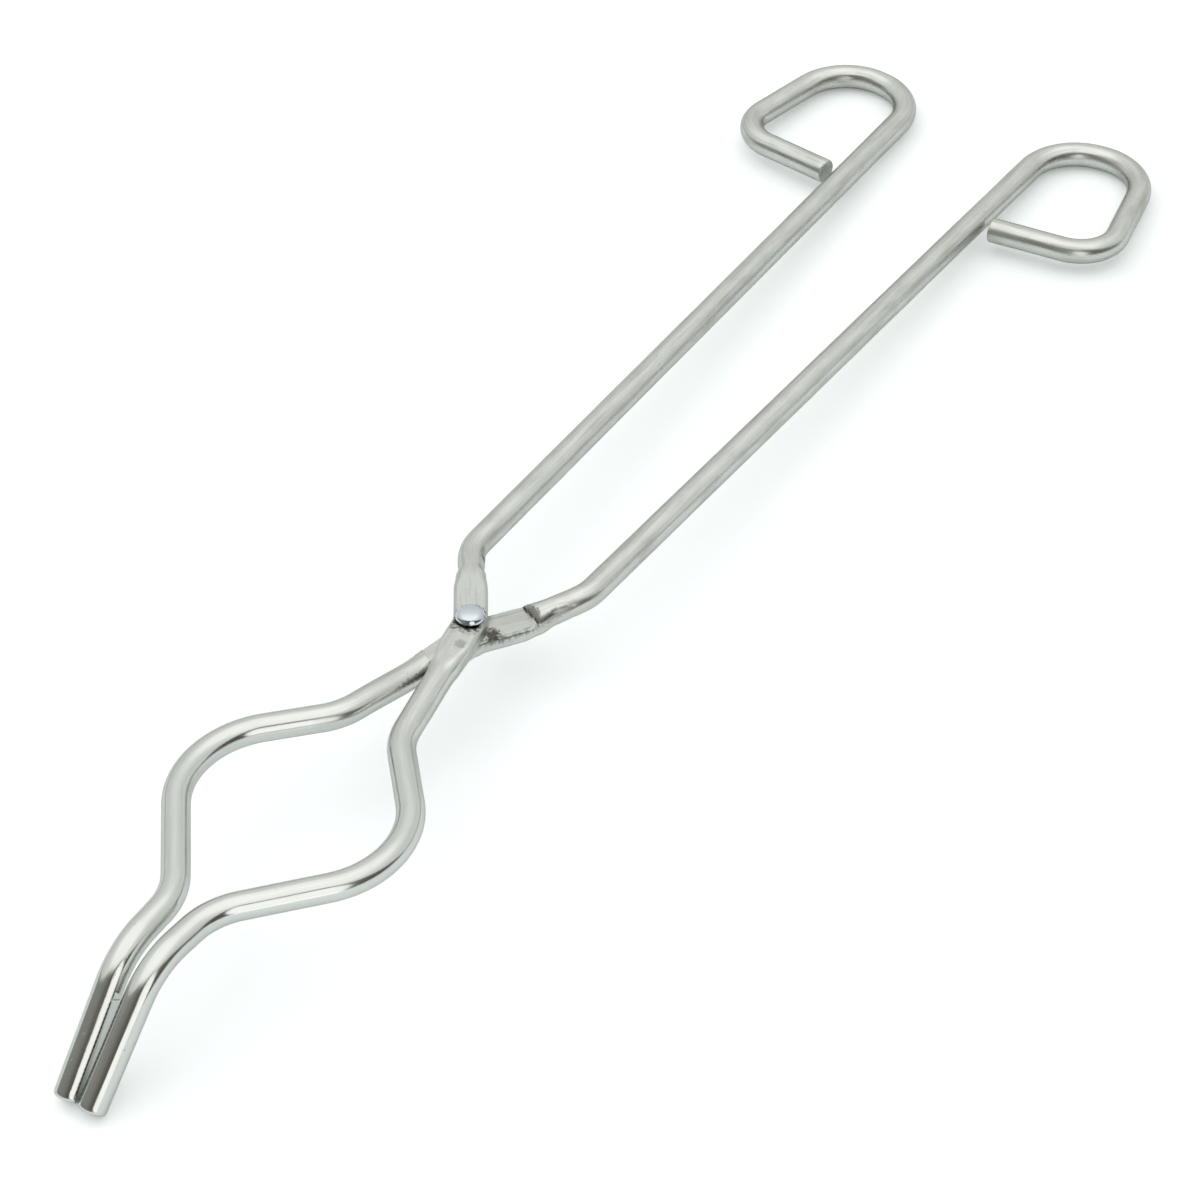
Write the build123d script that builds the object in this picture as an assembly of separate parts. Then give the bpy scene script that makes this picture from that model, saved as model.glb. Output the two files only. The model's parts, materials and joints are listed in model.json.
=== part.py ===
from build123d import *
import math
import os

os.makedirs("parts", exist_ok=True)

# Crucible tongs: two bent round bars that cross at a riveted half lap.
# The arms are drawn in the plane of the tongs: pivot at the origin,
# +X towards the tips, the handle of the drawn arm on the -Y side.

# Bar stock
bar_diameter = 5.0
cut_end_rim = 0.5
tip_end_rim = 0.8
least_straight = 0.3

# Handle: reach is along the tongs and spread across them, to the centre line's corners
kink_reach = 18.0
kink_spread = 12.45
loop_reach = 190.3
loop_spread = 15.9
loop_far_lean = 2.9
loop_far_width = 21.4
loop_length = 33.5
loop_front_width = 27.9
return_lean = 2.9
return_gap = 1.6
kink_bend = 9.5
loop_root_bend = 11.8
loop_far_bend = 11.5
loop_front_bend = 8.4

# Jaw: each run is the reach from one corner of the centre line to the next
neck_reach = 30.0
neck_spread = 6.1
belly_run = 22.9
lower_belly_pull = 2.1
upper_belly_spread = 26.9
lower_belly_spread = 26.2
nose_run = 26.3
nose_spread = 3.7
tip_bend_run = 14.4
tip_bend_spread = 3.05
tip_end_spread = 2.45
tip_length = 25.8
tip_slope = 46.0
neck_bend = 12.0
belly_bend = 17.5
nose_bend = 13.7
tip_bend = 13.7

# Serrated gripping faces of the tips
tip_face_depth = 0.35
tip_face_length = 19.5
serration_count = 22
serration_pitch = 0.8
serration_depth = 0.25
serration_end_margin = 1.2

# Half lap: each arm is cranked away from the other, pressed wide and flat, and sunk
lap_width = 6.1
lap_thickness = 3.35
lap_gap = 0.1
lap_drop = 0.5
lap_edge_round = 0.9
lap_handle_half = 8.5
lap_jaw_half = 6.5
lap_jaw_blend = 8.5
lap_bend = 8.0
kink_straight = 0.4
neck_width = 4.6
neck_run = 3.5
ease_round = 1.5
handle_shoulder = 11.4
handle_shoulder_skew = -12.0
jaw_shoulder = 10.1
jaw_shoulder_skew = 18.0
shoulder_slope = 52.0
closing_gap = 0.26
parting_start = 11.2
parting_angle = 24.0

# Rivet
rivet_diameter = 3.0
rivet_running_fit = 0.08
rivet_head_diameter = 5.3
rivet_head_land = 0.35
rivet_head_crown = 0.95
rivet_head_flat = 3.4
rivet_head_lift = 0.25
rivet_tail_diameter = 5.2
rivet_tail_height = 1.0
rivet_tail_bevel = 0.6

bar_radius = bar_diameter / 2
far_cut = 40.0
up = Vector(0, 0, 1)


def unit(start, end):
    """Unit vector from one point to another."""
    return (Vector(*end) - Vector(*start)).normalized()


# Centre line corners of an arm whose handle is on the -Y side
pivot = (0, 0, 0)
kink = (-kink_reach, -kink_spread, 0)
loop_root = (-loop_reach, -loop_spread, 0)
loop_far_reach = loop_reach + loop_far_lean
loop_far = (-loop_far_reach, -loop_spread - loop_far_width, 0)
loop_front_reach = loop_far_reach - loop_length
loop_front = (-loop_front_reach, -loop_spread - loop_front_width, 0)
return_reach = loop_front_reach - return_lean
rod_rise = (loop_spread - kink_spread) / (loop_reach - kink_reach)
rod_spread_at_return = kink_spread + (return_reach - kink_reach) * rod_rise
bar_end = (-return_reach, -rod_spread_at_return - bar_radius - return_gap, 0)
neck = (neck_reach, neck_spread, 0)
belly_reach = neck_reach + belly_run
upper_belly = (belly_reach, upper_belly_spread, 0)
lower_belly = (belly_reach - lower_belly_pull, lower_belly_spread, 0)
nose_reach = belly_reach + nose_run
nose = (nose_reach, nose_spread, 0)
tip_bend_reach = nose_reach + tip_bend_run
tip_root = (tip_bend_reach, tip_bend_spread, 0)
tip_forward = tip_length * math.cos(math.radians(tip_slope))
tip_fall = tip_length * math.sin(math.radians(tip_slope))

to_handle = unit(pivot, kink)
to_jaw = unit(pivot, neck)
kink_turn = to_handle.get_angle(unit(kink, loop_root))
kink_tangent = kink_bend * math.tan(math.radians(kink_turn / 2))
lap_start = Vector(*kink).length - kink_tangent - kink_straight
lap_end = lap_jaw_half + lap_jaw_blend


def on_lap(distance):
    """Point of the centre line in plan: minus on the handle side, plus on the jaw side."""
    if distance < 0:
        return to_handle * -distance
    return to_jaw * distance


def crank_height(distance, rise):
    """Height of the bar's middle: level across the lap, down to zero at the next bend."""
    bend_at, level = (neck, jaw_shoulder) if distance > 0 else (kink, handle_shoulder)
    reach = Vector(*bend_at).length
    return rise * min(1, (reach - abs(distance)) / (reach - level))


def cranked(distance, rise):
    """Point of the centre line at its true height."""
    return on_lap(distance) + up * crank_height(distance, rise)


def lap_plane(distance):
    """Upright plane across the bar, local X across the tongs and local Y upwards."""
    along = to_jaw if distance > 0 else to_handle * -1
    return Plane(origin=on_lap(distance), x_dir=up.cross(along), z_dir=along)


def round_ring(distance, rise):
    """Section of the round bar square to its run, in eight arcs like a pressed one."""
    corner = Vector(*(neck if distance > 0 else kink))
    here = cranked(distance, rise)
    along = (corner - here) * math.copysign(1, distance)
    plane = Plane(origin=here, x_dir=up.cross(along), z_dir=along)
    flat_arc = 10.0
    ring = []
    for quarter in range(4):
        middle = 90 - 90 * quarter
        ring.append(CenterArc((0, 0), bar_radius, middle + flat_arc / 2, -flat_arc))
        ring.append(CenterArc((0, 0), bar_radius, middle - flat_arc / 2, flat_arc - 90))
    return plane * make_face(ring)


def pressed_ring(plane, width, top, top_round, bottom, bottom_round):
    """Section of the pressed bar: four sides joined by four rounded corners."""
    side = width / 2
    corners = (
        ((side, top), top_round),
        ((side, -bottom), bottom_round),
        ((-side, -bottom), bottom_round),
        ((-side, top), top_round),
    )
    ring = []
    last = (-side + top_round, top)
    for index, (corner, rounding) in enumerate(corners):
        sign_x = math.copysign(1, corner[0])
        sign_y = math.copysign(1, corner[1])
        level = (corner[0] - sign_x * rounding, corner[1])
        upright = (corner[0], corner[1] - sign_y * rounding)
        enter, leave = (level, upright) if index % 2 == 0 else (upright, level)
        centre = (level[0], upright[1])
        diagonal = rounding * math.sqrt(0.5)
        middle = (centre[0] + sign_x * diagonal, centre[1] + sign_y * diagonal)
        ring.append(Line(last, enter))
        ring.append(ThreePointArc(enter, middle, leave))
        last = leave
    return plane * make_face(ring)


def bent_path(points, bends):
    """Straight runs with tangent bends, each bend as large as the runs beside it allow."""
    corners = [Vector(*point) for point in points]
    runs = [after - before for before, after in zip(corners, corners[1:])]
    tangents = [0.0]
    for before, after, bend in zip(runs, runs[1:], bends):
        tangents.append(bend * math.tan(math.radians(before.get_angle(after) / 2)))
    tangents.append(0.0)
    shares = []
    for run, before, after in zip(runs, tangents, tangents[1:]):
        shares.append(min(1, (run.length - least_straight) / (before + after)))
    radii = [bend * min(pair) for bend, pair in zip(bends, zip(shares, shares[1:]))]
    return FilletPolyline(*points, radius=radii)


def bent_bar(points, bends):
    """Round bar along straight runs and tangent bends."""
    path = bent_path(points, bends)
    start = Plane(origin=path @ 0, z_dir=path % 0)
    return sweep(start * Circle(bar_radius), path=path)


def ease_end(bar, end, rim):
    """Take the rim off the bar's end face."""
    edge = bar.faces().sort_by_distance(end)[0].edges()
    return chamfer(edge, rim)


def prism(outline):
    """Upright prism on a plan outline, taller than the tongs."""
    face = make_face(Polyline(*outline, close=True))
    return extrude(face, far_cut, both=True)


def shoulder_cut(distance, floor, skew):
    """Tool that clears the sunk side, from the pivot out to one sloped shoulder."""
    along = to_jaw if distance > 0 else to_handle
    run = abs(distance)
    spread = far_cut / math.tan(math.radians(shoulder_slope))
    outline = (
        (-lap_width / 2, 0),
        (run, 0),
        (run + spread, -far_cut),
        (-lap_width / 2, -far_cut),
    )
    upright = Plane(origin=(0, 0, floor), x_dir=along, z_dir=along.cross(up))
    face = make_face(Polyline(*outline, close=True))
    block = extrude(upright * face, far_cut / 2, both=True)
    return block.rotate(Axis(along * run, up), skew)


def pressed_station(distance, rise, width, top_round):
    """Pressed section across the lap at a distance from the pivot."""
    height = crank_height(distance, rise)
    top = bar_radius + height
    bottom = bar_radius - height
    under_round = width / 2 - 0.3
    return pressed_ring(lap_plane(distance), width, top, top_round, bottom, under_round)


def lap_body(rise):
    """Stretch of bar between the two round ends, pressed wide with a flat top."""
    full = (lap_width, lap_edge_round)
    eased = ((lap_width + bar_diameter) / 2, ease_round)
    slim = (neck_width, neck_width / 2 - 0.3)
    neck_at = lap_start - neck_run
    handle_blend = loft([
        round_ring(-lap_start, rise),
        pressed_station(-neck_at, rise, *slim),
        pressed_station(-(neck_at + lap_handle_half) / 2, rise, *eased),
        pressed_station(-lap_handle_half, rise, *full),
    ])
    jaw_blend = loft([
        pressed_station(lap_jaw_half, rise, *full),
        pressed_station((lap_jaw_half + lap_end) / 2, rise, *eased),
        round_ring(lap_end, rise),
    ])
    path = FilletPolyline(
        on_lap(-lap_handle_half), pivot, on_lap(lap_jaw_half), radius=lap_bend
    )
    flat = sweep(pressed_station(-lap_handle_half, rise, *full), path=path)
    return handle_blend + flat + jaw_blend


def gripping_cut(tip_end):
    """Tool that flattens the inner side of a tip and leaves V serrations across it."""
    tip_way = unit(tip_root, tip_end)
    inwards = Vector(0, -1, 0)
    inwards = (inwards - tip_way * inwards.dot(tip_way)).normalized()
    outline = [(bar_radius, bar_radius), (bar_radius, 0)]
    for index in range(serration_count):
        groove = -serration_end_margin - index * serration_pitch
        outline.append((groove + serration_depth, 0))
        outline.append((groove, -serration_depth))
        outline.append((groove - serration_depth, 0))
    outline += [(-tip_face_length, 0), (-tip_face_length - bar_radius, bar_radius)]
    face = tip_end + inwards * (bar_radius - tip_face_depth)
    upright = Plane(origin=face, x_dir=tip_way, z_dir=tip_way.cross(inwards))
    profile = make_face(Polyline(*outline, close=True))
    return extrude(upright * profile, bar_radius, both=True)


def tongs_arm(floor, belly, tip_sign, hole_diameter):
    """One arm, its flat outer side up and its sunk mating side at the floor height."""
    rise = floor + lap_thickness - bar_radius
    tip_end = Vector(
        tip_bend_reach + tip_forward,
        tip_end_spread,
        tip_sign * tip_fall,
    )
    handle_points = (
        bar_end, loop_front, loop_far, loop_root, kink, cranked(-lap_start, rise)
    )
    handle_bends = (loop_front_bend, loop_far_bend, loop_root_bend, kink_bend)
    handle = bent_bar(handle_points, handle_bends)
    handle = ease_end(handle, bar_end, cut_end_rim)
    jaw_points = (cranked(lap_end, rise), neck, belly, nose, tip_root, tip_end)
    jaw = bent_bar(jaw_points, (neck_bend, belly_bend, nose_bend, tip_bend))
    jaw = ease_end(jaw, tip_end, tip_end_rim)
    arm = handle + lap_body(rise) + jaw
    arm -= shoulder_cut(-handle_shoulder, floor, handle_shoulder_skew)
    arm -= shoulder_cut(jaw_shoulder, floor, jaw_shoulder_skew)
    arm -= extrude(Circle(hole_diameter / 2), far_cut, both=True)
    parting_y = closing_gap / 2
    parting_back = parting_start - parting_y - lap_width
    parting_fall = (parting_start - parting_back) * math.tan(math.radians(parting_angle))
    arm -= prism((
        (parting_back, parting_y - parting_fall),
        (parting_start, parting_y),
        (neck_reach, parting_y),
        (neck_reach, -far_cut),
        (parting_back, -far_cut),
    ))
    arm -= gripping_cut(tip_end)
    return arm


def pivot_rivet(low, high):
    """Rivet through both arms: headed above, with play, and closed over below."""
    shank = rivet_diameter / 2
    head = rivet_head_diameter / 2
    tail = rivet_tail_diameter / 2
    seat = high + rivet_head_lift
    land = seat + rivet_head_land
    crown = land + rivet_head_crown
    tail_end = low - rivet_tail_height
    tail_land = tail_end + rivet_tail_bevel
    crown_way = Vector(rivet_head_flat / 2 - head, 0, rivet_head_crown)
    bulge = Vector(rivet_head_crown, 0, head - rivet_head_flat / 2) * 0.13
    crown_middle = Vector(head, 0, land) + crown_way * 0.5 + bulge
    outline = (
        Line((0, 0, tail_end), (tail - rivet_tail_bevel, 0, tail_end)),
        Line((tail - rivet_tail_bevel, 0, tail_end), (tail, 0, tail_land)),
        Line((tail, 0, tail_land), (tail, 0, low)),
        Line((tail, 0, low), (shank, 0, low)),
        Line((shank, 0, low), (shank, 0, seat)),
        Line((shank, 0, seat), (head, 0, seat)),
        Line((head, 0, seat), (head, 0, land)),
        ThreePointArc((head, 0, land), crown_middle, (rivet_head_flat / 2, 0, crown)),
        Line((rivet_head_flat / 2, 0, crown), (0, 0, crown)),
        Line((0, 0, crown), (0, 0, tail_end)),
    )
    return revolve(make_face(outline), Axis.Z)


def resting_tilt():
    """Angle that lifts the plane of the tongs so that loops and tip ends lie level."""
    points = (bar_end, loop_front, loop_far, loop_root, kink)
    path = bent_path(points, (loop_front_bend, loop_far_bend, loop_root_bend))
    loop_x = path.bounding_box().min.X
    slope = math.radians(tip_slope)
    tip_x = tip_bend_reach + tip_forward
    tip_z = -tip_fall
    heel_x = tip_x - tip_end_rim * math.cos(slope) - bar_radius * math.sin(slope)
    heel_z = tip_z + tip_end_rim * math.sin(slope) - bar_radius * math.cos(slope)
    span = math.hypot(heel_x - loop_x, heel_z)
    line = math.atan2(heel_z, heel_x - loop_x) + math.asin(bar_radius / span)
    return -line, loop_x


upper_floor = -lap_drop + lap_gap / 2
lower_floor = lap_drop + lap_gap / 2
free_hole = rivet_diameter + 2 * rivet_running_fit
upper_arm = tongs_arm(upper_floor, upper_belly, -1, free_hole)
lower_arm = Rot(180, 0, 0) * tongs_arm(lower_floor, lower_belly, 1, rivet_diameter)
rivet = pivot_rivet(-lower_floor - lap_thickness, upper_floor + lap_thickness)

# Set the tongs down: loops and tip ends on the ground, middle over the origin
tilt, loop_x = resting_tilt()
tilted = Rot(0, -math.degrees(tilt), 0)
span_box = (tilted * upper_arm).bounding_box().add((tilted * lower_arm).bounding_box())
middle_x = (span_box.min.X + span_box.max.X) / 2
lift = bar_radius - loop_x * math.sin(tilt)
rest = Pos(-middle_x, 0, lift) * tilted

nodes = {
    "upper_arm": rest * upper_arm,
    "lower_arm": rest * lower_arm,
    "pivot_rivet": rest * rivet,
}
for name, shape in nodes.items():
    export_step(shape, f"parts/{name}.step")
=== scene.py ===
import json
import math
import bmesh
import bpy
from mathutils import Matrix, Vector, noise


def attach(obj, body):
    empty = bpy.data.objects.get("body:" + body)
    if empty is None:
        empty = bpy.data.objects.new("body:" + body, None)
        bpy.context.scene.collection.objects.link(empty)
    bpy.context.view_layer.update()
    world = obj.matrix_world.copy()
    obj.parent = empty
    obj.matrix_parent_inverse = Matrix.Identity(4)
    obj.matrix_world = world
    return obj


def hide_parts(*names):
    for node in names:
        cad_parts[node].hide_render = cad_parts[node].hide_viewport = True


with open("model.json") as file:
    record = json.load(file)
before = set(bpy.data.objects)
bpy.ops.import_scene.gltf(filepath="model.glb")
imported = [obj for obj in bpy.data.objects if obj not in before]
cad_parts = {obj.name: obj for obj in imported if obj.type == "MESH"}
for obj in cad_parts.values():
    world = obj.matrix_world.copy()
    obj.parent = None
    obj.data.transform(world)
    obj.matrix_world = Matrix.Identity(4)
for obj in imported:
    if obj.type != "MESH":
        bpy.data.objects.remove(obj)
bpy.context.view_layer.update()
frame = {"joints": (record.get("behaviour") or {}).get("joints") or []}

# Upper arm
# One length of 5 mm stainless bar, bent cold into a finger loop, a half lap and a jaw with a
# turned-down tip. The lap is pressed flat on top and cut away below, and it turns on the rivet.
bar_radius = 2.5
ring_sides = 64
bend_step = math.radians(3)
coarse_step = 3.0
fine_step = 0.5
upper_arm_corners = [
    (-156.8, -19.346, 0), (-159.7, -43.8, 0), (-193.2, -37.3, 0), (-190.3, -15.9, 0),
    (-18.0, -12.45, 0), (0, 0, 0), (30.0, 6.1, 0), (52.9, 26.9, 0), (79.2, 3.7, 0),
    (93.6, 3.05, 0), (111.522, 2.45, -18.559),
]
arm_bends = [8.4, 11.5, 11.8, 9.5, 8.0, 12.0, 17.5, 13.7, 13.7]
cut_end_rim = 0.5
tip_end_rim = 0.8
lap_thickness = 3.35
upper_floor = -0.45
handle_shoulder = 11.4
handle_shoulder_skew = math.radians(-12)
jaw_shoulder = 10.1
jaw_shoulder_skew = math.radians(18)
shoulder_slope = math.radians(66)
upper_hole = 1.58
tip_face_depth = 0.35
tip_face_length = 19.5
serration_count = 22
serration_pitch = 0.8
serration_depth = 0.25
serration_margin = 1.2

parting_start = (11.2, 0.13, 0)
parting_angle = math.radians(24)
bore_sides = 20
edge_angle = math.radians(32)
crease_angle = math.radians(24)
press_fade_handle = 3.5
press_fade_jaw = 5

# Each station has its distance from the rivet, the pressed width and the rounding, in mm.
pressed_stations = [
    (-18.8, 5.0, 2.0), (-15.3, 4.6, 2.0), (-12.5, 5.5, 1.4), (-8.5, 6.1, 0.8),
    (6.5, 6.1, 0.8), (10.5, 5.6, 1.4), (15.0, 5.0, 2.0),
]

hinge = frame["joints"][0]
hinge_axis = Vector(hinge["axis"])
lean = math.atan2(-hinge_axis.x, hinge_axis.z)
set_down = (
    Matrix.Translation(Vector(hinge["pos_m"]))
    @ Matrix.Rotation(-lean, 4, "Y")
    @ Matrix.Scale(0.001, 4)
)


def carry_ring(bm, edges):
    """Extrudes the bar's open ring and returns the new ring's corners and edges."""
    grown = bmesh.ops.extrude_edge_only(bm, edges=edges)["geom"]
    verts = [g for g in grown if isinstance(g, bmesh.types.BMVert)]
    rim = [g for g in grown if isinstance(g, bmesh.types.BMEdge) and g.is_boundary]
    return verts, rim


def bend_bar(corners, bends, first_rim, last_rim, fine_runs):
    """Round bar along straight runs and tangent bends, with both end rims rounded.

    Each corner of the mesh keeps its place on the straight bar in along_bar, in mm.
    """
    bm = bmesh.new()
    along_bar = bm.verts.layers.float_vector.new("along_bar")
    corners = [Vector(c) for c in corners]
    heading = (corners[1] - corners[0]).normalized()
    across = Vector((0, 0, 1)).cross(heading)
    middle = corners[0].copy()
    start = Matrix((across, heading.cross(across), heading)).transposed().to_4x4()
    start.translation = middle
    ring = bmesh.ops.create_circle(
        bm, cap_ends=True, segments=ring_sides, radius=bar_radius * 0.25, matrix=start
    )["verts"]
    edges = list(bm.edges)
    for v in ring:
        out = (v.co - middle).normalized() * bar_radius
        v[along_bar] = (out.dot(across), out.dot(heading.cross(across)), 0)
    gone = 0.0
    size = bar_radius * 0.25
    rings = []

    def step(forward, new_size):
        """Carries the ring straight ahead and gives it a new radius."""
        nonlocal ring, edges, middle, gone, size
        ring, edges = carry_ring(bm, edges)
        bmesh.ops.translate(bm, verts=ring, vec=heading * forward)
        middle = middle + heading * forward
        share = new_size / size
        bmesh.ops.scale(bm, verts=ring, vec=(share,) * 3, space=Matrix.Translation(-middle))
        size = new_size
        gone += forward
        note()

    def note():
        for v in ring:
            place = v[along_bar]
            v[along_bar] = (place[0], place[1], gone)
        rings.append((gone, middle.copy(), across.copy(), heading.copy(), list(ring)))

    note()
    face_radius = bar_radius - first_rim
    for share in (0.5, 0.75, 1.0):
        step(0, face_radius * share)
    for i in range(1, 7):
        turn = math.radians(15 * i)
        back = math.radians(15 * (i - 1))
        step(first_rim * (math.cos(back) - math.cos(turn)), face_radius + first_rim * math.sin(turn))

    corner_marks = [0.0]
    run_start = corners[0] + heading * first_rim
    for number in range(1, len(corners)):
        last = number == len(corners) - 1
        if last:
            run_end = corners[number] - heading * last_rim
        else:
            onward = (corners[number + 1] - corners[number]).normalized()
            turn = heading.angle(onward)
            radius = bends[number - 1]
            run_end = corners[number] - heading * radius * math.tan(turn / 2)
        run = (run_end - run_start).dot(heading)
        length = fine_step if number in fine_runs else coarse_step
        parts = max(1, round(run / length))
        for _ in range(parts):
            step(run / parts, bar_radius)
        if last:
            break
        axis = heading.cross(onward).normalized()
        side = axis.cross(heading)
        centre = middle + side * radius
        parts = max(4, math.ceil(turn / bend_step))
        corner_marks.append(gone + radius * turn / 2)
        for _ in range(parts):
            spin = Matrix.Rotation(turn / parts, 3, axis)
            ring, edges = carry_ring(bm, edges)
            bmesh.ops.rotate(bm, verts=ring, cent=centre, matrix=spin)
            middle = centre + spin @ (middle - centre)
            heading = (spin @ heading).normalized()
            across = (spin @ across).normalized()
            gone += radius * turn / parts
            note()
        run_start = middle.copy()

    face_radius = bar_radius - last_rim
    for i in range(1, 7):
        turn = math.radians(15 * i)
        back = math.radians(15 * (i - 1))
        step(last_rim * (math.sin(turn) - math.sin(back)), face_radius + last_rim * math.cos(turn))
    for share in (0.75, 0.5, 0.25):
        step(0, face_radius * share)
    bmesh.ops.contextual_create(bm, geom=edges)
    return bm, rings, corner_marks


def between(stations, distance):
    """Sizes at a distance, eased from one station to the next."""
    before = stations[0]
    for after in stations:
        if distance <= after[0]:
            break
        before = after
    span = after[0] - before[0]
    share = 0 if span <= 0 else min(1, max(0, (distance - before[0]) / span))
    share = share * share * (3 - 2 * share)
    return [a + (b - a) * share for a, b in zip(before[1:], after[1:])]


def pressed_corner(turn, width, rounding):
    """Point of the pressed section: turn 0 is the side, a quarter turn the top."""
    from_top = abs(math.asin(max(-1, min(1, math.sin(turn)))))
    share = 1 - from_top / (math.pi / 2)
    flat_share, side_share = 0.3, 0.15
    if math.sin(turn) < 0:
        rounding = width / 2 - 0.3
    half_flat = width / 2 - rounding
    half_side = bar_radius - rounding
    if share < flat_share:
        x, y = half_flat * share / flat_share, bar_radius
    elif share > 1 - side_share:
        x, y = width / 2, half_side * (1 - share) / side_share
    else:
        arc = (share - flat_share) / (1 - flat_share - side_share) * math.pi / 2
        x = half_flat + rounding * math.sin(arc)
        y = half_side + rounding * math.cos(arc)
    return math.copysign(x, math.cos(turn)), math.copysign(y, math.sin(turn))


def press_lap(rings, corner_marks, rise, waviness):
    """Cranks the bar at the lap, presses it wide and flat, and leaves it a little uneven."""
    pivot_mark = corner_marks[5]
    kink_reach = pivot_mark - corner_marks[4]
    neck_reach = corner_marks[6] - pivot_mark
    for gone, middle, across, heading, verts in rings:
        distance = gone - pivot_mark
        level, reach = (jaw_shoulder, neck_reach) if distance > 0 else (handle_shoulder, kink_reach)
        share = min(1, max(0, (reach - abs(distance)) / (reach - level)))
        share = share * share * (3 - 2 * share)
        lifted = rise * share
        width, rounding = between(pressed_stations, distance)
        from_handle = (distance - pressed_stations[0][0]) / press_fade_handle
        from_jaw = (pressed_stations[-1][0] - distance) / press_fade_jaw
        pressed = min(1, max(0, from_handle), max(0, from_jaw))
        pressed = pressed * pressed * (3 - 2 * pressed)
        upward = heading.cross(across)
        for v in verts:
            out = v.co - middle
            x, y = out.dot(across), out.dot(upward)
            size = math.hypot(x, y)
            if pressed > 0 and size > bar_radius * 0.99:
                px, py = pressed_corner(math.atan2(y, x), width, rounding)
                x, y = x + (px - x) * pressed, y + (py - y) * pressed
            spot = Vector((x * 0.25, y * 0.25, gone * 0.12))
            swell = 1 + waviness * noise.noise(spot)
            v.co = middle + (across * x + upward * y) * swell + Vector((0, 0, lifted))


def cut_away(bm, inside, planes):
    """Takes away what lies behind all the planes and closes the cut with flat faces."""
    for point, normal in planes:
        faces = [f for f in bm.faces if inside(f.calc_center_median())]
        edges = {e for f in faces for e in f.edges}
        verts = {v for f in faces for v in f.verts}
        bmesh.ops.bisect_plane(
            bm, geom=faces + list(edges) + list(verts), dist=0.004,
            plane_co=point, plane_no=normal,
        )
    doomed = []
    for f in bm.faces:
        centre = f.calc_center_median()
        if inside(centre) and all((centre - p).dot(n) < -0.002 for p, n in planes):
            doomed.append(f)
    bmesh.ops.delete(bm, geom=doomed, context="FACES")
    rim = [v for v in bm.verts if v.is_boundary]

    def lying_on(plane):
        return {v for v in rim if abs((v.co - plane[0]).dot(plane[1])) < 0.006}

    on_planes = [lying_on(plane) for plane in planes]
    for i in range(len(planes)):
        for j in range(i + 1, len(planes)):
            shared = list(on_planes[i] & on_planes[j])
            if len(shared) < 2:
                continue
            line = planes[i][1].cross(planes[j][1])
            shared.sort(key=lambda v: v.co.dot(line))
            ends = (shared[0], shared[-1])
            if not bm.edges.get(ends):
                bm.edges.new(ends)
    for verts in on_planes:
        edges = [
            e for e in bm.edges
            if (e.is_boundary or e.is_wire) and e.verts[0] in verts and e.verts[1] in verts
        ]
        if len(edges) > 2:
            bmesh.ops.edgenet_fill(bm, edges=edges)


def sloped_shoulder(reach, heading, floor, skew):
    """Plane of the sloped end of the recess, and its point on the floor line."""
    foot = heading * reach + Vector((0, 0, floor))
    normal = heading * math.sin(shoulder_slope) + Vector((0, 0, 1)) * math.cos(shoulder_slope)
    normal = Matrix.Rotation(skew, 3, "Z") @ normal
    return foot, normal


def cut_lap(bm, floor, hole_radius):
    """Bores the rivet hole, sinks the mating side and parts the flanks."""
    to_handle = Vector(upper_arm_corners[4]).normalized()
    to_jaw = Vector(upper_arm_corners[6]).normalized()
    bore = []
    for i in range(bore_sides):
        out = Matrix.Rotation(2 * math.pi * i / bore_sides, 3, "Z") @ Vector((1, 0, 0))
        bore.append((out * hole_radius, out))
    cut_away(bm, lambda c: math.hypot(c.x, c.y) < 2.6, bore)
    lap_planes = [
        (Vector((0, 0, floor)), Vector((0, 0, 1))),
        sloped_shoulder(handle_shoulder, to_handle, floor, handle_shoulder_skew),
        sloped_shoulder(jaw_shoulder, to_jaw, floor, jaw_shoulder_skew),
    ]
    cut_away(bm, lambda c: -18 < c.x < 20 and abs(c.y) < 18 and c.z < 3, lap_planes)
    parting = Vector(parting_start)
    back = Matrix.Rotation(parting_angle, 3, "Z") @ Vector((0, 1, 0))
    flank = [(parting, Vector((0, 1, 0))), (parting, back)]
    cut_away(bm, lambda c: 4 < c.x < 22 and abs(c.y) < 6, flank)


def cut_tip(bm, tip_root, tip_end):
    """Grinds the gripping face flat and cuts V serrations across it."""
    tip_way = (tip_end - tip_root).normalized()
    inwards = Vector((0, -1, 0))
    inwards = (inwards - tip_way * inwards.dot(tip_way)).normalized()
    face = tip_end + inwards * (bar_radius - tip_face_depth)
    run_out = face - tip_way * tip_face_length
    ahead = (tip_way - inwards).normalized()
    behind = (-tip_way - inwards).normalized()

    def near_face(spot):
        return (spot - face).dot(inwards) > -0.9 and -22.5 < (spot - face).dot(tip_way) < 1

    cut_away(bm, near_face, [(face, -inwards), (run_out, -ahead)])
    for i in range(serration_count):
        root = face - tip_way * (serration_margin + serration_pitch * i) - inwards * serration_depth

        def near_groove(spot):
            return near_face(spot) and abs((spot - root).dot(tip_way)) < 0.8

        cut_away(bm, near_groove, [(root, ahead), (root, behind)])


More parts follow.
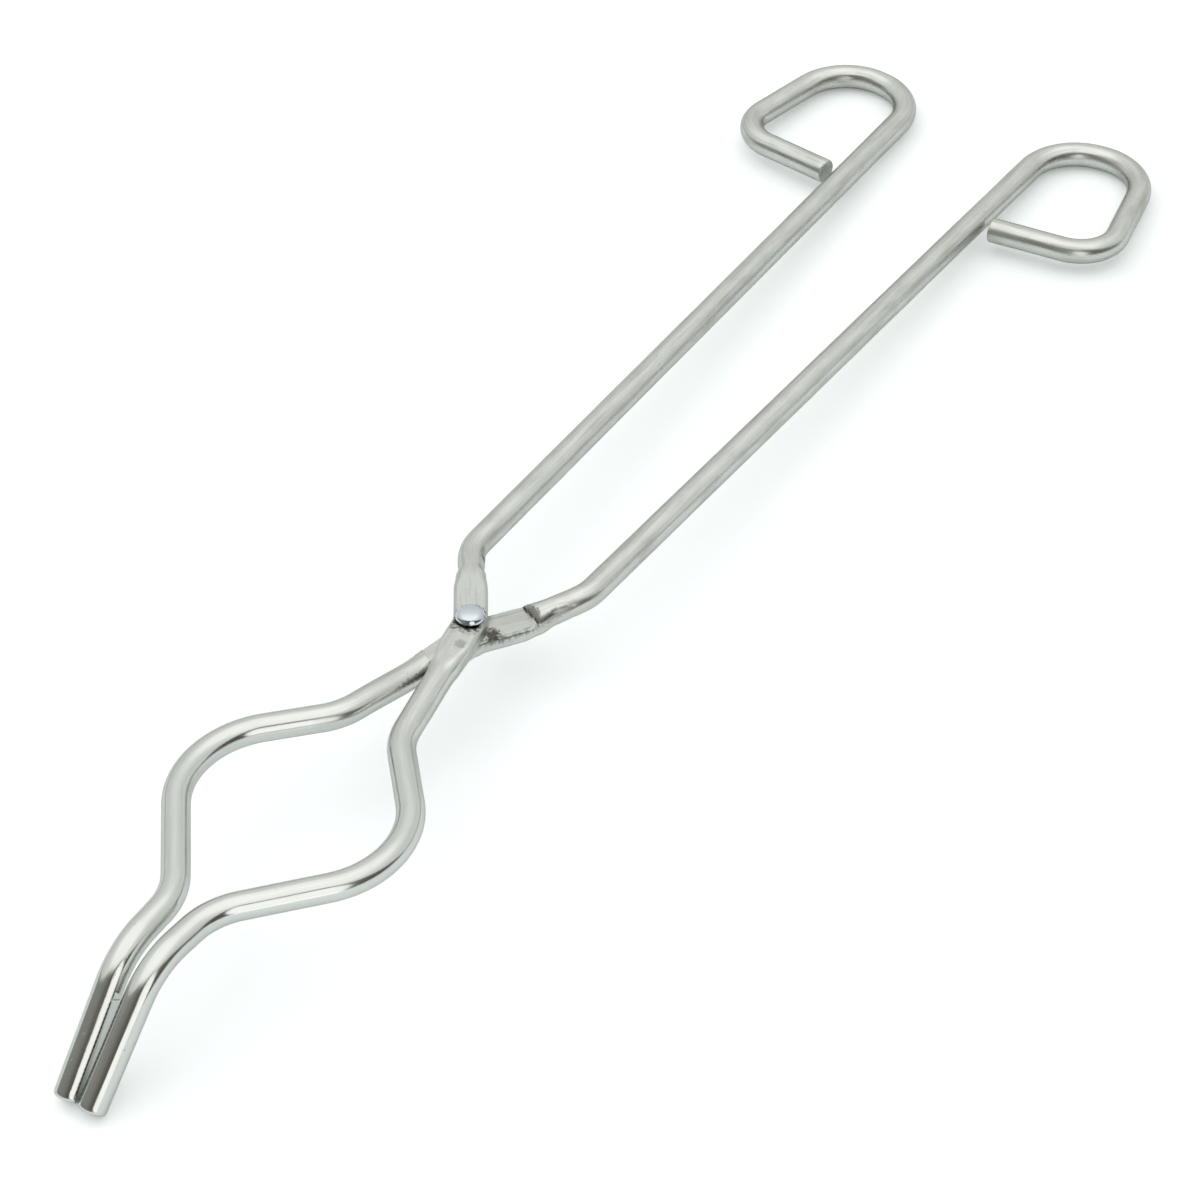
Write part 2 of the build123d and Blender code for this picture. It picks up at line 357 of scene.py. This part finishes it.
def dress_arm(name, bm, material, edge_round, flip):
    """Turns the bent bar into a piece in metres, where the tongs lie."""
    bmesh.ops.recalc_face_normals(bm, faces=bm.faces)
    cut_edges = [
        e for e in bm.edges
        if len(e.link_faces) == 2 and e.calc_face_angle(0) > edge_angle
        and -18 < e.verts[0].co.x < 22
    ]
    bmesh.ops.bevel(
        bm, geom=cut_edges, offset=edge_round, offset_type="OFFSET", segments=2,
        profile=0.5, affect="EDGES", clamp_overlap=True, material=-1,
    )
    for f in bm.faces:
        f.smooth = True
    for e in bm.edges:
        e.smooth = not (len(e.link_faces) == 2 and e.calc_face_angle(0) > crease_angle)
    place = set_down @ Matrix.Rotation(math.pi if flip else 0, 4, "X")
    bmesh.ops.transform(bm, matrix=place, verts=bm.verts)
    bmesh.ops.recalc_face_normals(bm, faces=bm.faces)
    mesh = bpy.data.meshes.new(name)
    bm.to_mesh(mesh)
    bm.free()
    mesh.materials.append(material)
    arm = bpy.data.objects.new(name, mesh)
    bpy.context.scene.collection.objects.link(arm)
    return arm


def wire(tree, kind, values=None, **settings):
    """Adds a node to a finish, with its settings and socket values."""
    made = tree.nodes.new(kind)
    for key, value in settings.items():
        setattr(made, key, value)
    for key, value in (values or {}).items():
        made.inputs[key].default_value = value
    return made


def worn_bar_group():
    """Finish of the drawn bar: lengthwise streaks, mottling and small pits."""
    group = bpy.data.node_groups.new("worn_bar", "ShaderNodeTree")
    face = group.interface
    face.new_socket("Place", in_out="INPUT", socket_type="NodeSocketVector")
    face.new_socket("Polish", in_out="INPUT", socket_type="NodeSocketFloat")
    face.new_socket("Colour", in_out="OUTPUT", socket_type="NodeSocketColor")
    face.new_socket("Roughness", in_out="OUTPUT", socket_type="NodeSocketFloat")
    face.new_socket("Height", in_out="OUTPUT", socket_type="NodeSocketFloat")
    given = group.nodes.new("NodeGroupInput")
    put = group.nodes.new("NodeGroupOutput")
    link = group.links.new

    def grain(scale, stretch, detail, rough=0.6):
        mapping = wire(group, "ShaderNodeMapping", {"Scale": stretch})
        link(given.outputs["Place"], mapping.inputs["Vector"])
        made = wire(
            group, "ShaderNodeTexNoise",
            {"Scale": scale, "Detail": detail, "Roughness": rough},
        )
        link(mapping.outputs["Vector"], made.inputs["Vector"])
        return made.outputs["Fac"]

    def spread(source, low, high, out_low, out_high):
        made = wire(
            group, "ShaderNodeMapRange",
            {"From Min": low, "From Max": high, "To Min": out_low, "To Max": out_high},
        )
        link(source, made.inputs["Value"])
        return made.outputs["Result"]

    def reckon(operation, first, second):
        made = wire(group, "ShaderNodeMath", operation=operation)
        for socket, value in zip(made.inputs, (first, second)):
            if isinstance(value, (int, float)):
                socket.default_value = value
            else:
                link(value, socket)
        return made.outputs[0]

    streaks = grain(1.5, (1, 1, 0.04), 2)
    fine_lines = grain(4.0, (1, 1, 0.03), 2)
    mottle = grain(0.4, (1, 1, 0.35), 4, 0.55)
    specks = grain(1.3, (1, 1, 0.6), 2, 0.5)
    pits = spread(specks, 0.71, 0.76, 0, 1)
    dull = reckon("SUBTRACT", 1.0, given.outputs["Polish"])

    rough_streak = spread(streaks, 0.3, 0.7, -0.05, 0.07)
    rough_mottle = spread(mottle, 0.35, 0.7, -0.06, 0.10)
    base_rough = spread(given.outputs["Polish"], 0, 1, 0.28, 0.16)
    wander = reckon("MULTIPLY", reckon("ADD", rough_streak, rough_mottle), spread(dull, 0, 1, 0.35, 1))
    rough = reckon("ADD", reckon("ADD", base_rough, wander), reckon("MULTIPLY", pits, 0.2))
    link(rough, put.inputs["Roughness"])

    tone = wire(group, "ShaderNodeMix", data_type="RGBA")
    tone.inputs["A"].default_value = (0.70, 0.715, 0.685, 1)
    tone.inputs["B"].default_value = (0.50, 0.50, 0.45, 1)
    shade = reckon("ADD", spread(mottle, 0.45, 0.75, 0, 0.5), spread(streaks, 0.48, 0.72, 0, 0.5))
    shade = reckon("ADD", shade, spread(fine_lines, 0.5, 0.7, 0, 0.35))
    shade = reckon("MULTIPLY", shade, spread(dull, 0, 1, 0.25, 1))
    link(reckon("ADD", shade, reckon("MULTIPLY", pits, 0.6)), tone.inputs["Factor"])
    link(tone.outputs["Result"], put.inputs["Colour"])

    height = reckon("ADD", reckon("MULTIPLY", streaks, 0.5), reckon("MULTIPLY", fine_lines, 0.25))
    height = reckon("MULTIPLY", height, spread(dull, 0, 1, 0.3, 1))
    height = reckon("SUBTRACT", height, reckon("MULTIPLY", pits, 0.5))
    link(height, put.inputs["Height"])
    return group


def arm_steel(name, polish_from, polish_to, shade_and_soil_spots):
    """Stainless bar: satin along the handle, brighter towards the tip, with spots of painted shade and
    dirt.

    Each spot of painted shade and dirt has a place and half sizes as along_bar gives them, and a
    depth.
    """
    steel = bpy.data.materials.new(name)
    steel.use_nodes = True
    tree = steel.node_tree
    tree.nodes.clear()
    link = tree.links.new
    place = wire(tree, "ShaderNodeAttribute", attribute_name="along_bar")
    along = tree.nodes.new("ShaderNodeSeparateXYZ")
    link(place.outputs["Vector"], along.inputs["Vector"])
    polish = wire(
        tree, "ShaderNodeMapRange",
        {"From Min": polish_from, "From Max": polish_to, "To Min": 0.0, "To Max": 1.0},
    )
    link(along.outputs["Z"], polish.inputs["Value"])
    finish = tree.nodes.new("ShaderNodeGroup")
    finish.node_tree = bpy.data.node_groups.get("worn_bar") or worn_bar_group()
    link(place.outputs["Vector"], finish.inputs["Place"])
    link(polish.outputs["Result"], finish.inputs["Polish"])
    crumbs = wire(tree, "ShaderNodeTexNoise", {"Scale": 1.7, "Detail": 3.0})
    link(place.outputs["Vector"], crumbs.inputs["Vector"])
    ragged = wire(
        tree, "ShaderNodeMapRange",
        {"From Min": 0.3, "From Max": 0.7, "To Min": -0.3, "To Max": 0.3},
    )
    link(crumbs.outputs["Fac"], ragged.inputs["Value"])
    shade_and_soil_share = None
    # Each spot darkens towards the near-black below: painted shade under the rivet head, in creases,
    # recess corners and between the arms, and painted dark reflections, with some dirt.
    for centre, size, depth in shade_and_soil_spots:
        offset = wire(tree, "ShaderNodeVectorMath", {1: centre}, operation="SUBTRACT")
        link(place.outputs["Vector"], offset.inputs[0])
        share = wire(tree, "ShaderNodeVectorMath", {1: size}, operation="DIVIDE")
        link(offset.outputs["Vector"], share.inputs[0])
        reach = wire(tree, "ShaderNodeVectorMath", operation="LENGTH")
        link(share.outputs["Vector"], reach.inputs[0])
        torn = wire(tree, "ShaderNodeMath", operation="ADD")
        link(reach.outputs["Value"], torn.inputs[0])
        link(ragged.outputs["Result"], torn.inputs[1])
        spot = wire(
            tree, "ShaderNodeMapRange",
            {"From Min": 0.5, "From Max": 1.15, "To Min": depth, "To Max": 0.0},
            interpolation_type="SMOOTHSTEP",
        )
        link(torn.outputs[0], spot.inputs["Value"])
        if shade_and_soil_share is None:
            shade_and_soil_share = spot.outputs["Result"]
        else:
            more = wire(tree, "ShaderNodeMath", operation="MAXIMUM")
            link(shade_and_soil_share, more.inputs[0])
            link(spot.outputs["Result"], more.inputs[1])
            shade_and_soil_share = more.outputs[0]
    # The spots mix the bar colour towards a near-black brown: painted shade and painted reflection,
    # partly dirt.
    shade_and_soil_mix = wire(tree, "ShaderNodeMix", data_type="RGBA")
    link(shade_and_soil_share, shade_and_soil_mix.inputs["Factor"])
    link(finish.outputs["Colour"], shade_and_soil_mix.inputs["A"])
    shade_and_soil_mix.inputs["B"].default_value = (0.045, 0.038, 0.026, 1)
    bump = wire(tree, "ShaderNodeBump", {"Strength": 0.5, "Distance": 0.00004})
    link(finish.outputs["Height"], bump.inputs["Height"])
    surface = wire(tree, "ShaderNodeBsdfPrincipled", {"Metallic": 1.0})
    surface.inputs["Specular Tint"].default_value = (0.72, 0.72, 0.70, 1)
    link(shade_and_soil_mix.outputs["Result"], surface.inputs["Base Color"])
    link(finish.outputs["Roughness"], surface.inputs["Roughness"])
    link(bump.outputs["Normal"], surface.inputs["Normal"])
    out = tree.nodes.new("ShaderNodeOutputMaterial")
    link(surface.outputs["BSDF"], out.inputs["Surface"])
    return steel


bar, bar_rings, marks = bend_bar(
    upper_arm_corners, arm_bends, cut_end_rim, tip_end_rim, fine_runs={5, 6, 10}
)
press_lap(bar_rings, marks, upper_floor + lap_thickness - bar_radius, 0.012)
cut_lap(bar, upper_floor, upper_hole)
cut_tip(bar, Vector(upper_arm_corners[-2]), Vector(upper_arm_corners[-1]))
rivet_mark = marks[5]
neck_mark = marks[6]
# Painted shade with some dirt on the upper arm: a near-black patch on the flat around the rivet where
# shade falls under its head, two spots of painted shade in the crease of the handle kink, and a darker
# spot on top towards the jaw.
upper_shade_and_soil_spots = [
    ((0.25, 2.5, rivet_mark + 0.5), (3.5, 1.2, 3.5), 0.97),
    ((2.4, 0.8, rivet_mark - 18.0), (0.9, 1.2, 1.0), 0.8),
    ((2.2, 1.4, rivet_mark - 20.0), (0.7, 0.9, 1.6), 0.35),
    ((0.6, 2.4, rivet_mark + 7.0), (0.7, 0.8, 1.3), 0.35),
]
upper_arm_steel = arm_steel("upper_arm_steel", rivet_mark + 8, neck_mark + 10, upper_shade_and_soil_spots)
upper_arm = dress_arm("upper_arm_bar", bar, upper_arm_steel, edge_round=0.09, flip=False)
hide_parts("upper_arm")
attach(upper_arm, "upper")

# Lower arm
# The second bent bar, nearly the mirror image of the first, with a rounder belly bent by hand.
# It passes under the upper arm in its own cut recess, and the rivet is tight in its hole.
lower_floor = 0.55
lower_hole = 1.5
lower_arm_corners = list(upper_arm_corners)
lower_arm_corners[7] = (50.8, 26.2, 0)
lower_arm_corners[10] = (111.522, 2.45, 18.559)
bar, bar_rings, marks = bend_bar(
    lower_arm_corners, arm_bends, cut_end_rim, tip_end_rim, fine_runs={5, 6, 10}
)
press_lap(bar_rings, marks, lower_floor + lap_thickness - bar_radius, 0.012)
cut_lap(bar, lower_floor, lower_hole)
cut_tip(bar, Vector(lower_arm_corners[-2]), Vector(lower_arm_corners[-1]))
rivet_mark = marks[5]
neck_mark = marks[6]
# Painted shade with some dirt on the lower arm: along the recess flank, beside the upper arm on the
# recess floor, in the corner at the foot of the handle shoulder and just past it, and painted dark
# reflections with dirt in bands on the jaw side and at the kink.
lower_shade_and_soil_spots = [
    ((-2.5, -0.35, rivet_mark - 5.0), (1.1, 0.6, 9.0), 0.7),
    ((-1.6, -0.85, rivet_mark - 3.4), (1.5, 1.0, 1.7), 0.9),
    ((-1.6, -0.85, rivet_mark - 11.75), (1.3, 0.6, 0.26), 0.8),
    ((0.2, -0.85, rivet_mark - 11.4), (1.3, 0.6, 0.26), 0.7),
    ((1.8, -0.85, rivet_mark - 11.05), (1.1, 0.6, 0.26), 0.8),
    ((-1.2, -2.1, rivet_mark - 12.5), (1.1, 0.7, 0.24), 0.6),
    ((0.6, -2.4, rivet_mark - 12.1), (1.0, 0.7, 0.24), 0.6),
    ((-2.2, -1.2, rivet_mark + 14.0), (0.55, 0.75, 6.0), 0.6),
    ((-2.2, -1.1, rivet_mark - 15.5), (0.6, 0.8, 4.5), 0.5),
]
lower_arm_steel = arm_steel("lower_arm_steel", rivet_mark + 8, neck_mark + 10, lower_shade_and_soil_spots)
lower_arm = dress_arm("lower_arm_bar", bar, lower_arm_steel, edge_round=0.17, flip=True)
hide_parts("lower_arm")
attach(lower_arm, "lower")

# Rivet
# A small stainless rivet with a low domed head, set from above through both laps and
# hammered over below. The upper arm turns on it with a little play.
rivet_outline = [
    (0, -4.9), (1.5, -4.9), (2.05, -4.78), (2.42, -4.5), (2.6, -4.23), (2.6, -3.9),
    (1.5, -3.9), (1.5, 3.15), (2.5, 3.15), (2.65, 3.25), (2.65, 3.45), (2.52, 3.75),
    (2.28, 4.08), (1.98, 4.32), (1.7, 4.42), (1.62, 4.45), (0, 4.45),
]
rivet = bmesh.new()
last = None
for radius, height in rivet_outline:
    corner = rivet.verts.new((radius, 0, height))
    if last:
        rivet.edges.new((last, corner))
    last = corner
bmesh.ops.spin(
    rivet, geom=list(rivet.verts) + list(rivet.edges), cent=(0, 0, 0), axis=(0, 0, 1),
    angle=2 * math.pi, steps=56, use_merge=True, use_duplicate=False,
)
bmesh.ops.remove_doubles(rivet, verts=rivet.verts, dist=0.001)
bmesh.ops.recalc_face_normals(rivet, faces=rivet.faces)
for face in rivet.faces:
    face.smooth = True
for edge in rivet.edges:
    edge.smooth = edge.calc_face_angle(0) < math.radians(30)
bmesh.ops.transform(rivet, matrix=set_down, verts=rivet.verts)
rivet_mesh = bpy.data.meshes.new("rivet_head_and_shank")
rivet.to_mesh(rivet_mesh)
rivet.free()
rivet_steel = bpy.data.materials.new("rivet_steel")
rivet_steel.use_nodes = True
shader = rivet_steel.node_tree.nodes["Principled BSDF"]
shader.inputs["Metallic"].default_value = 1.0
shader.inputs["Base Color"].default_value = (0.66, 0.70, 0.74, 1)
shader.inputs["Roughness"].default_value = 0.14
rivet_mesh.materials.append(rivet_steel)
rivet_piece = bpy.data.objects.new("rivet_head_and_shank", rivet_mesh)
bpy.context.scene.collection.objects.link(rivet_piece)
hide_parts("pivot_rivet")
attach(rivet_piece, "lower")

# Table top
# A plain white sheet that the tongs lie on. It is stage, not part of the tongs.
table_mesh = bpy.data.meshes.new("table_top")
table_bm = bmesh.new()
bmesh.ops.create_grid(table_bm, x_segments=1, y_segments=1, size=2.0)
table_bm.to_mesh(table_mesh)
table_bm.free()
table_top = bpy.data.objects.new("table_top", table_mesh)
bpy.context.scene.collection.objects.link(table_top)
paper = bpy.data.materials.new("table_white")
paper.use_nodes = True
tree = paper.node_tree
shader = tree.nodes["Principled BSDF"]
shader.inputs["Base Color"].default_value = (0.89, 0.93, 0.945, 1)
shader.inputs["Roughness"].default_value = 0.7
shader.inputs["Specular IOR Level"].default_value = 0.1
lift_white = wire(tree, "ShaderNodeEmission", {"Color": (1, 1, 1, 1)})
rays = tree.nodes.new("ShaderNodeLightPath")
lift_for_camera = 0.24
lift_for_mirrors = 0.02
camera_lift = wire(tree, "ShaderNodeMath", {1: lift_for_camera}, operation="MULTIPLY")
tree.links.new(rays.outputs["Is Camera Ray"], camera_lift.inputs[0])
glossy_lift = wire(tree, "ShaderNodeMath", {1: lift_for_mirrors}, operation="MULTIPLY")
tree.links.new(rays.outputs["Is Glossy Ray"], glossy_lift.inputs[0])
lift_amount = wire(tree, "ShaderNodeMath", operation="ADD")
tree.links.new(camera_lift.outputs[0], lift_amount.inputs[0])
tree.links.new(glossy_lift.outputs[0], lift_amount.inputs[1])
tree.links.new(lift_amount.outputs[0], lift_white.inputs["Strength"])
both = tree.nodes.new("ShaderNodeAddShader")
tree.links.new(shader.outputs["BSDF"], both.inputs[0])
tree.links.new(lift_white.outputs["Emission"], both.inputs[1])
tree.links.new(both.outputs["Shader"], tree.nodes["Material Output"].inputs["Surface"])
table_mesh.materials.append(paper)

# Studio light
# One softbox above and behind, a bright panel before the jaws, and a pale room that is
# brightest overhead and dark on the camera's side, up to the height that front_edge gives.
softbox = bpy.data.lights.new("softbox", "AREA")
softbox.shape = "RECTANGLE"
softbox.size = 0.7
softbox.size_y = 0.7
softbox.energy = 1.5
softbox.color = (1.0, 0.98, 0.94)
softbox_lamp = bpy.data.objects.new("softbox", softbox)
softbox_lamp.visible_glossy = False
bpy.context.scene.collection.objects.link(softbox_lamp)
softbox_lamp.location = (0.10, -0.75, 0.80)
aim = Vector((0, 0, 0)) - softbox_lamp.location
softbox_lamp.rotation_euler = aim.to_track_quat("-Z", "Y").to_euler()

panel = bpy.data.lights.new("jaw_panel", "AREA")
panel.shape = "ELLIPSE"
panel.size = 0.30
panel.size_y = 0.40
panel.energy = 0.36
panel_lamp = bpy.data.objects.new("jaw_panel", panel)
panel_lamp.visible_camera = False
bpy.context.scene.collection.objects.link(panel_lamp)
panel_lamp.location = (0.33, 0.33, 0.17)
aim = Vector((0.05, 0, 0)) - panel_lamp.location
panel_lamp.rotation_euler = aim.to_track_quat("-Z", "Y").to_euler()

room = bpy.data.worlds.new("studio_room")
bpy.context.scene.world = room
room.use_nodes = True
tree = room.node_tree
tree.nodes.clear()
link = tree.links.new
direction = tree.nodes.new("ShaderNodeTexCoord")
split = tree.nodes.new("ShaderNodeSeparateXYZ")
link(direction.outputs["Generated"], split.inputs["Vector"])
ramp = tree.nodes.new("ShaderNodeValToRGB")
link(split.outputs["Z"], ramp.inputs["Fac"])
room_levels = (
    (0.0, (0.86, 0.87, 0.85, 1)), (0.20, (0.84, 0.85, 0.84, 1)), (0.45, (0.80, 0.82, 0.81, 1)),
    (0.72, (1.0, 1.02, 1.0, 1)), (0.82, (1.28, 1.29, 1.27, 1)), (1.0, (1.38, 1.38, 1.36, 1)),
)
ramp.color_ramp.elements[0].position = room_levels[0][0]
ramp.color_ramp.elements[0].color = room_levels[0][1]
ramp.color_ramp.elements[1].position = room_levels[-1][0]
ramp.color_ramp.elements[1].color = room_levels[-1][1]
for position, colour in room_levels[1:-1]:
    stop = ramp.color_ramp.elements.new(position)
    stop.color = colour
level = tree.nodes.new("ShaderNodeCombineXYZ")
link(split.outputs["X"], level.inputs["X"])
link(split.outputs["Y"], level.inputs["Y"])
bearing = wire(tree, "ShaderNodeVectorMath", operation="NORMALIZE")
link(level.outputs["Vector"], bearing.inputs[0])
front_way = (0.906, 0.423, 0.0)
deep_way = (0.342, 0.940, 0.0)
front_side = wire(tree, "ShaderNodeVectorMath", {1: front_way}, operation="DOT_PRODUCT")
link(bearing.outputs["Vector"], front_side.inputs[0])
front_edge = wire(
    tree, "ShaderNodeMapRange",
    {"From Min": -0.25, "From Max": 0.80, "To Min": 0.0, "To Max": 0.74},
)
link(front_side.outputs["Value"], front_edge.inputs["Value"])
front_top = wire(tree, "ShaderNodeMath", {1: 0.12}, operation="ADD")
link(front_edge.outputs["Result"], front_top.inputs[0])
dark_share = wire(
    tree, "ShaderNodeMapRange", {"To Min": 1.0, "To Max": 0.0}, interpolation_type="SMOOTHSTEP"
)
link(split.outputs["Z"], dark_share.inputs["Value"])
link(front_edge.outputs["Result"], dark_share.inputs["From Min"])
link(front_top.outputs[0], dark_share.inputs["From Max"])
deep_side = wire(tree, "ShaderNodeVectorMath", {1: deep_way}, operation="DOT_PRODUCT")
link(bearing.outputs["Vector"], deep_side.inputs[0])
deepness = wire(
    tree, "ShaderNodeMapRange", {"From Min": 0.1, "From Max": 0.8, "To Min": 1.0, "To Max": 0.0}
)
link(deep_side.outputs["Value"], deepness.inputs["Value"])
dark_tone = wire(tree, "ShaderNodeMix", data_type="RGBA")
link(deepness.outputs["Result"], dark_tone.inputs["Factor"])
dark_tone.inputs["A"].default_value = (0.11, 0.098, 0.085, 1)
dark_tone.inputs["B"].default_value = (0.26, 0.26, 0.24, 1)
shaded = wire(tree, "ShaderNodeMix", data_type="RGBA")
link(dark_share.outputs["Result"], shaded.inputs["Factor"])
link(ramp.outputs["Color"], shaded.inputs["A"])
link(dark_tone.outputs["Result"], shaded.inputs["B"])
glow = wire(tree, "ShaderNodeBackground", {"Strength": 0.93})
link(shaded.outputs["Result"], glow.inputs["Color"])
seen = wire(tree, "ShaderNodeBackground", {"Color": (1, 1, 1, 1), "Strength": 1.0})
path = tree.nodes.new("ShaderNodeLightPath")
mix = tree.nodes.new("ShaderNodeMixShader")
link(path.outputs["Is Camera Ray"], mix.inputs[0])
link(glow.outputs["Background"], mix.inputs[1])
link(seen.outputs["Background"], mix.inputs[2])
out = tree.nodes.new("ShaderNodeOutputWorld")
link(mix.outputs["Shader"], out.inputs["Surface"])

# Camera
# It stands where the photograph was taken from, above the side of the tongs.
lens = bpy.data.cameras.new("studio_camera")
lens.lens = 104.46
lens.sensor_width = 36.0
lens.clip_start = 0.01
camera = bpy.data.objects.new("studio_camera", lens)
bpy.context.scene.collection.objects.link(camera)
look = Vector((-0.5833, -0.4188, -0.6960)).normalized()
right = Vector((-0.5479, 0.8354, -0.0435))
right = (right - look * right.dot(look)).normalized()
above = right.cross(look)
view = Matrix((right, above, -look)).transposed().to_4x4()
view.translation = (0.38503, 0.27611, 0.44645)
camera.matrix_world = view
bpy.context.scene.camera = camera
bpy.context.scene.view_settings.view_transform = "Standard"
